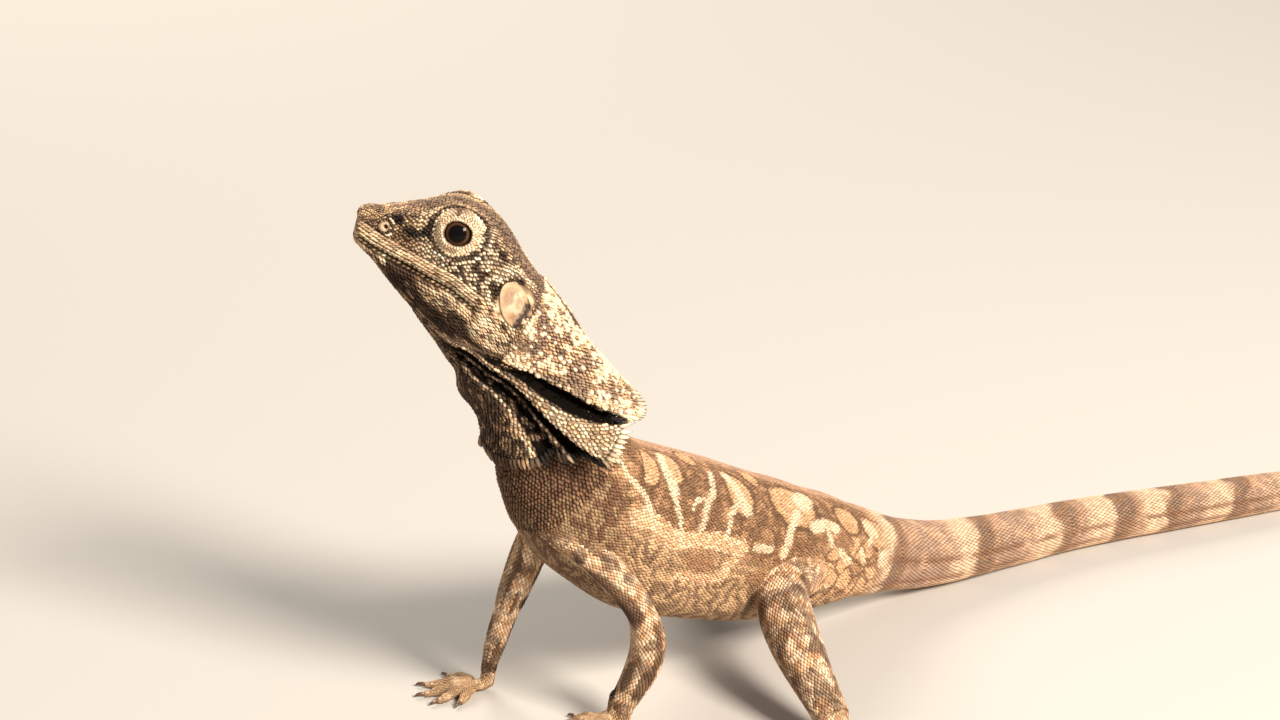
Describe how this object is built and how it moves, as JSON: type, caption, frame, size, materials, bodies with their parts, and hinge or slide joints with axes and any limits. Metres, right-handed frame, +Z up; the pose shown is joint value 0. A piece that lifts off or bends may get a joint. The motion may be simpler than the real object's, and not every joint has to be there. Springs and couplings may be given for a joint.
{
  "type": "frilled lizard",
  "caption": "Life-size still model of a juvenile frilled lizard, standing alert with its head raised, its frill folded and its tail laid out behind.",
  "frame": {"origin": "middle of the bounding box on the floor that the feet and tail rest on", "axes": "+Z up; the trunk and tail run along X with the head at -X; the animal's left side is -Y"},
  "size_m": [0.2563, 0.1002, 0.0714],
  "materials": {
    "skin_tan": "matt keeled scales in tan, cream and grey-brown",
    "skin_pale": "matt fine scales, cream with brown speckles",
    "frill_brown": "matt scaled skin, brown with cream edges",
    "eye_dark": "wet gloss, near black with a thin copper ring",
    "drum_cream": "smooth thin membrane, satin cream",
    "claw_horn": "satin dark horn"
  },
  "bodies": {
    "root": {"claw_fore_left_1": "claw_horn", "claw_fore_left_2": "claw_horn", "claw_fore_left_3": "claw_horn", "claw_fore_left_4": "claw_horn", "claw_fore_left_5": "claw_horn", "claw_fore_right_1": "claw_horn", "claw_fore_right_2": "claw_horn", "claw_fore_right_3": "claw_horn", "claw_fore_right_4": "claw_horn", "claw_fore_right_5": "claw_horn", "claw_hind_left_1": "claw_horn", "claw_hind_left_2": "claw_horn", "claw_hind_left_3": "claw_horn", "claw_hind_left_4": "claw_horn", "claw_hind_left_5": "claw_horn", "claw_hind_right_1": "claw_horn", "claw_hind_right_2": "claw_horn", "claw_hind_right_3": "claw_horn", "claw_hind_right_4": "claw_horn", "claw_hind_right_5": "claw_horn", "eardrum_left": "drum_cream", "eardrum_right": "drum_cream", "eye_left": "eye_dark", "eye_right": "eye_dark", "foot_fore_left": "skin_pale", "foot_fore_right": "skin_pale", "foot_hind_left": "skin_pale", "foot_hind_right": "skin_pale", "frill_left": "frill_brown", "frill_right": "frill_brown", "head": "skin_tan", "lower_fore_left": "skin_tan", "lower_fore_right": "skin_tan", "lower_hind_left": "skin_tan", "lower_hind_right": "skin_tan", "lower_jaw": "skin_pale", "neck": "frill_brown", "tail_1": "skin_tan", "tail_2": "skin_tan", "tail_3": "skin_tan", "tail_4": "skin_tan", "trunk": "skin_tan", "upper_fore_left": "skin_tan", "upper_fore_right": "skin_tan", "upper_hind_left": "skin_tan", "upper_hind_right": "skin_tan"}
  },
  "joints": []
}
